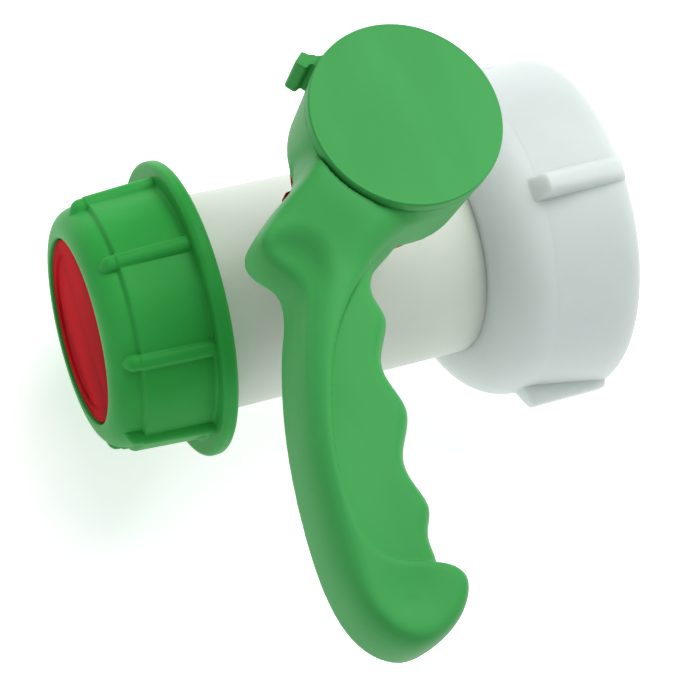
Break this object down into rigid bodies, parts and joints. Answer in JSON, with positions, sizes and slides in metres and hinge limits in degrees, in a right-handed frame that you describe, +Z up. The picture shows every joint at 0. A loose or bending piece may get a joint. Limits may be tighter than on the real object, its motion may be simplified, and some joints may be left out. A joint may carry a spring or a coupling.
{
  "type": "intermediate bulk container valve",
  "caption": "Plastic flap valve for the outlet of a bulk liquid container: straight tube, green quarter-turn lever, swivel coupling nut and screwed cap with a red disc.",
  "frame": {"origin": "on the tube's axis, at the seat of the inlet gasket in the coupling nut, where the tank's spigot ends", "axes": "+X along the tube towards the tank, +Z up along the lever's spindle, lever pointing to -Y with the flap closed"},
  "size_m": [0.1449, 0.1662, 0.1512],
  "materials": {
    "body_plastic": "natural translucent moulding",
    "nut_plastic": "natural translucent moulding",
    "cap_plastic": "satin moulding",
    "green_plastic": "satin moulding",
    "red_plastic": "semi-gloss moulding",
    "flap_plastic": "satin moulding",
    "spindle_plastic": "glass-filled moulding",
    "bearing_plastic": "satin",
    "black_rubber": "matt",
    "screw_steel": "bright"
  },
  "bodies": {
    "valve": {"valve_body": "body_plastic", "retaining_ring": "bearing_plastic", "inlet_gasket": "black_rubber", "lower_bush": "bearing_plastic", "stem_bush": "bearing_plastic", "stop_ring": "red_plastic"},
    "coupling": {"coupling_nut": "nut_plastic"},
    "lever": {"lever": "green_plastic", "lid": "green_plastic", "lever_screw": "screw_steel", "screw_washer": "screw_steel", "spindle": "spindle_plastic", "thrust_washer": "bearing_plastic", "lower_o_ring": "black_rubber", "upper_o_ring": "black_rubber", "flap": "flap_plastic", "flap_seal": "black_rubber"},
    "insert": {"cap_disc": "red_plastic", "cap_gasket": "black_rubber"},
    "cap": {"cap_nut": "cap_plastic"}
  },
  "joints": [
    {"name": "lever_turn", "type": "hinge", "parent": "valve", "child": "lever", "pos_m": [-0.053, 0, 0], "axis": [0, 0, 1], "range_deg": [-90, 0]},
    {"name": "nut_swivel", "type": "hinge", "parent": "valve", "child": "coupling", "pos_m": [0, 0, 0], "axis": [1, 0, 0], "continuous": true},
    {"name": "cap_travel", "type": "slide", "parent": "valve", "child": "insert", "axis": [-1, 0, 0], "range_m": [0, 0.0301]},
    {"name": "cap_turn", "type": "hinge", "parent": "insert", "child": "cap", "pos_m": [-0.113, 0, 0], "axis": [-1, 0, 0], "range_deg": [0, 1800]}
  ],
  "couplings": [
    {"joint": "cap_travel", "follows": "cap_turn", "m_per_rad": 0.00095493}
  ]
}
